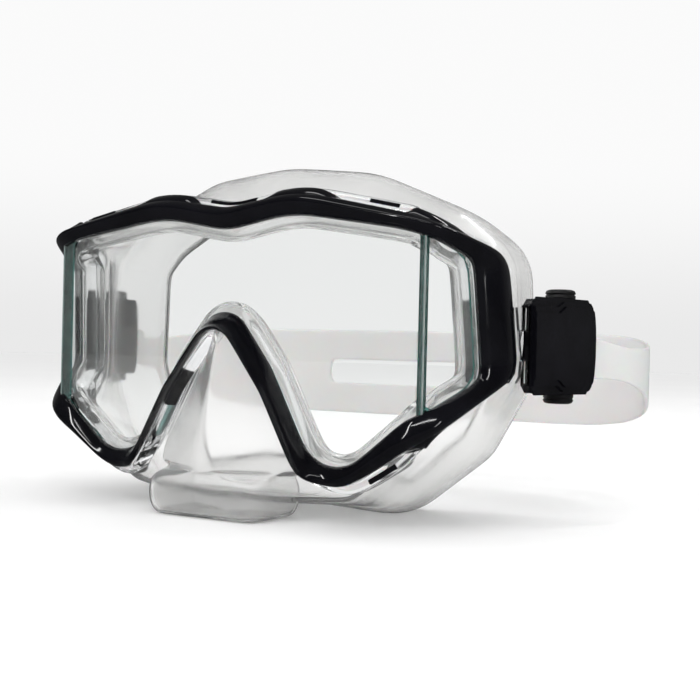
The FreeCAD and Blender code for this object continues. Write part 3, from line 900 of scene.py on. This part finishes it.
def strap_plan():
    """Middle line of the left half in plan: tail, round the roller, out of the buckle, to the back."""
    run = [(STRAP_TAIL - k, -STRAP_LEG) for k in np.arange(0, STRAP_TAIL - ROLLER_X, 1.4)]
    for a in np.linspace(-90, -270, 13):
        a = math.radians(a)
        run.append((ROLLER_X + STRAP_LEG * math.cos(a), STRAP_LEG * math.sin(a)))
    wrap_end = len(run)
    run += [(ROLLER_X + k, STRAP_LEG) for k in np.arange(2, STRAP_LEAVES - ROLLER_X, 2.0)]
    plan = [HINGE[:2] + ALONG[:2] * x + OUTWARDS[:2] * y for x, y in run]
    centre = HINGE[:2] + ALONG[:2] * STRAP_LEAVES + OUTWARDS[:2] * (STRAP_LEG - STRAP_BEND)
    first = BUCKLE_TURN - math.pi / 2
    for k in range(33):
        a = first + (math.pi / 2 - first) * k / 32
        plan.append(centre + STRAP_BEND * np.array([math.cos(a), math.sin(a)]))
    back = plan[-1]
    for x in list(np.arange(back[0] - 3, 1.0, -3.0)) + [0.4, 0.05]:
        plan.append(np.array([x, back[1]]))
    return np.array(plan), wrap_end


def along_strap(pairs, length):
    """A softened value read from (length, value) pairs."""
    every_mm = np.arange(0, float(STRAP_LENGTH))
    smooth = np.interp(every_mm, *zip(*pairs))
    for _ in range(12):
        smooth[1:-1] = 0.5 * smooth[1:-1] + 0.25 * (smooth[:-2] + smooth[2:])
    return np.interp(length, every_mm, smooth)


def make_strap_half():
    """The left half of the band, flared and slotted behind the head."""
    plan, wrap_end = strap_plan()
    steps = np.linalg.norm(np.diff(plan, axis=0), axis=1)
    length = np.concatenate([[0], np.cumsum(steps)])
    tail = np.interp(length, [0, 0.6, 1.6, 3.0, 5.0], [0.62, 0.82, 0.95, 1.0, 1.0])
    length = np.clip(length - length[wrap_end], 0, None)
    middle = HINGE[2] + STRAP_DROP
    high = middle + along_strap(STRAP_RISE, length) * tail
    low = middle - along_strap(STRAP_FALL, length) * tail
    shares = [0.0, 0.03, 0.2, 0.345, 0.36, 0.64, 0.655, 0.8, 0.97, 1.0]
    rows = [np.stack([plan[:, 0], plan[:, 1], low + (high - low) * share], axis=1) for share in shares]
    count = len(plan)
    faces = []
    for face in grid_faces(len(shares), count, False, False):
        row, column = divmod(face[0], count)
        in_slot = row == 4 and plan[column, 0] < SLOT_HALF and plan[column, 1] > STRAP_BACK
        if not in_slot:
            faces.append(face)
    strap = add_mesh("strap_left", np.array(rows).reshape(-1, 3), faces)
    recalculate_normals(strap)
    solidify(strap, STRAP)
    subdivide(strap)
    return strap


def make_strap():
    left = make_strap_half()
    right = mirrored(left, "strap_right")
    for obj, side, sign in ((left, "left", 1), (right, "right", -1)):
        obj.data.materials.append(MATERIALS["milky_silicone"])
        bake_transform(obj)
        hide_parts("strap_end_" + side)
    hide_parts("strap_back")


def make_buckles():
    housing, cover = make_buckle_shells()
    upper = make_button("upper_knob_left", True)
    lower = make_button("lower_knob_left", False)
    sets = [(housing, "buckle_housing", "buckle_", "satin_black", "buckle_body_"),
            (cover, "buckle_panel", "buckle_", "satin_black", "buckle_cover_"),
            (upper, "upper_knob", "upper_button_", "button_black", "upper_button_"),
            (lower, "lower_knob", "lower_button_", "button_black", "lower_button_")]
    for obj, name, body, slot_name, node in sets:
        right = mirrored(obj, name + "_right")
        obj.name = name + "_left"
        finish_piece(obj, body + "left", slot_name, node + "left")
        finish_piece(right, body + "right", slot_name, node + "right")


# ---------------------------------------------------------------- carried-over design nodes
def dress_nodes():
    slots = {part["node"]: part["material_slot"] for part in frame["record"]["subparts"]}
    for node, obj in frame["nodes"].items():
        for index in range(len(obj.material_slots)):
            obj.material_slots[index].material = MATERIALS[slots[node]]


# ---------------------------------------------------------------- studio
VIEW_TURN = 30.1         # degrees round to the wearer's left from straight in front
VIEW_FALL = 0.2
VIEW_ROLL = 1.4
VIEW_TARGET = (0.0464, 0.0, 0.054)
VIEW_DISTANCE = 0.350
VIEW_LENS = 59.7
FLOOR_HALF = 3000
LIGHT_AIM = (0, 0.03, 0.06)
FRONT_TO_BACK = (-0.35, 0.45)     # directions over which the room changes
LIGHTS = [  # name, place and size in metres, watts: narrow strips, for crisp streaks on the gloss black
    ("key", (-0.35, -0.85, 0.75), (0.05, 0.6), 2.2), ("fill", (0.95, -0.45, 0.30), (0.03, 0.5), 0.9),
    ("line", (0.25, -0.70, 0.80), (1.0, 0.025), 1.6), ("top", (0.0, 0.10, 1.0), (0.9, 0.15), 1.4),
    ("rim", (0.35, 0.80, 0.92), (0.8, 0.04), 1.4)]


def make_studio():
    half = FLOOR_HALF
    floor = add_mesh("floor", [(-half, -half, 0), (half, -half, 0), (half, half, 0), (-half, half, 0)],
                     [(0, 1, 2, 3)])
    floor.data.materials.append(pale_floor())
    make_world()
    for light in LIGHTS:
        add_area(*light)
    bpy.context.scene.view_settings.view_transform = "Standard"


def make_world():
    """A white room, lit from above and behind.

    What the eye and the clear parts see is bright. Mirror reflections see a dim room, dimmest in front.
    """
    world = bpy.data.worlds.new("studio")
    bpy.context.scene.world = world
    world.use_nodes = True
    tree = world.node_tree
    background = tree.nodes["Background"]
    place = tree.nodes.new("ShaderNodeTexCoord")
    split = tree.nodes.new("ShaderNodeSeparateXYZ")
    tree.links.new(place.outputs["Generated"], split.inputs["Vector"])

    def spread(axis, start, end, low, high):
        node = tree.nodes.new("ShaderNodeMapRange")
        node.interpolation_type = "SMOOTHSTEP"
        for name, value in (("From Min", start), ("From Max", end), ("To Min", low), ("To Max", high)):
            node.inputs[name].default_value = value
        tree.links.new(split.outputs[axis], node.inputs["Value"])
        return node.outputs["Result"]

    def mixed(share, low, high):
        node = tree.nodes.new("ShaderNodeMix")
        for name, value in (("Factor", share), ("A", low), ("B", high)):
            if isinstance(value, float):
                node.inputs[name].default_value = value
            else:
                tree.links.new(value, node.inputs[name])
        return node.outputs["Result"]

    path = tree.nodes.new("ShaderNodeLightPath").outputs
    ceiling = spread("Z", 0.25, 0.75, 0.0, 1.0)
    seen = mixed(ceiling, spread("Y", *FRONT_TO_BACK, 0.18, 0.90), 0.90)
    lit = mixed(ceiling, spread("Y", *FRONT_TO_BACK, 0.75, 1.0), 1.10)
    mirrored_room = mixed(ceiling, spread("Y", *FRONT_TO_BACK, 0.02, 0.14), 0.05)
    room = mixed(path["Is Diffuse Ray"], seen, lit)
    room = mixed(path["Is Glossy Ray"], room, mirrored_room)
    room = mixed(path["Is Transmission Ray"], room, seen)
    room = mixed(path["Is Camera Ray"], room, spread("Z", 0.0, 0.16, 0.82, 0.96))
    tree.links.new(room, background.inputs["Strength"])
    background.inputs["Color"].default_value = (1.0, 1.0, 1.0, 1)


def add_area(name, place, size, power):
    light = bpy.data.lights.new(name, "AREA")
    light.energy = power
    light.shape = "RECTANGLE"
    light.size, light.size_y = size
    obj = bpy.data.objects.new(name, light)
    obj.location = place
    aim = Vector(LIGHT_AIM) - Vector(place)
    obj.rotation_euler = aim.to_track_quat("-Z", "Y").to_euler()
    bpy.context.scene.collection.objects.link(obj)


def make_camera():
    """Level view from the wearer's left front, tipped by a small roll."""
    turn, fall, roll = (math.radians(angle) for angle in (VIEW_TURN, VIEW_FALL, VIEW_ROLL))
    target = Vector(VIEW_TARGET)
    forward = Vector((-math.sin(turn) * math.cos(fall), math.cos(turn) * math.cos(fall), -math.sin(fall)))
    right = Vector((math.cos(turn), math.sin(turn), 0.0))
    up = right.cross(forward)
    right_tipped = right * math.cos(roll) + up * math.sin(roll)
    up_tipped = -right * math.sin(roll) + up * math.cos(roll)
    camera = bpy.data.cameras.new("camera")
    camera.lens = VIEW_LENS
    camera.sensor_width = 36.0
    camera.clip_start = 0.01
    obj = bpy.data.objects.new("camera", camera)
    axes = Matrix((right_tipped, up_tipped, -forward)).transposed().to_4x4()
    obj.matrix_world = Matrix.Translation(target - forward * VIEW_DISTANCE) @ axes
    bpy.context.scene.collection.objects.link(obj)
    bpy.context.scene.camera = obj


make_lenses()
make_bezel()
make_laps()
make_main_frame()
make_inlays()
make_skirt()
make_buckles()
make_strap()
dress_nodes()
make_studio()
make_camera()
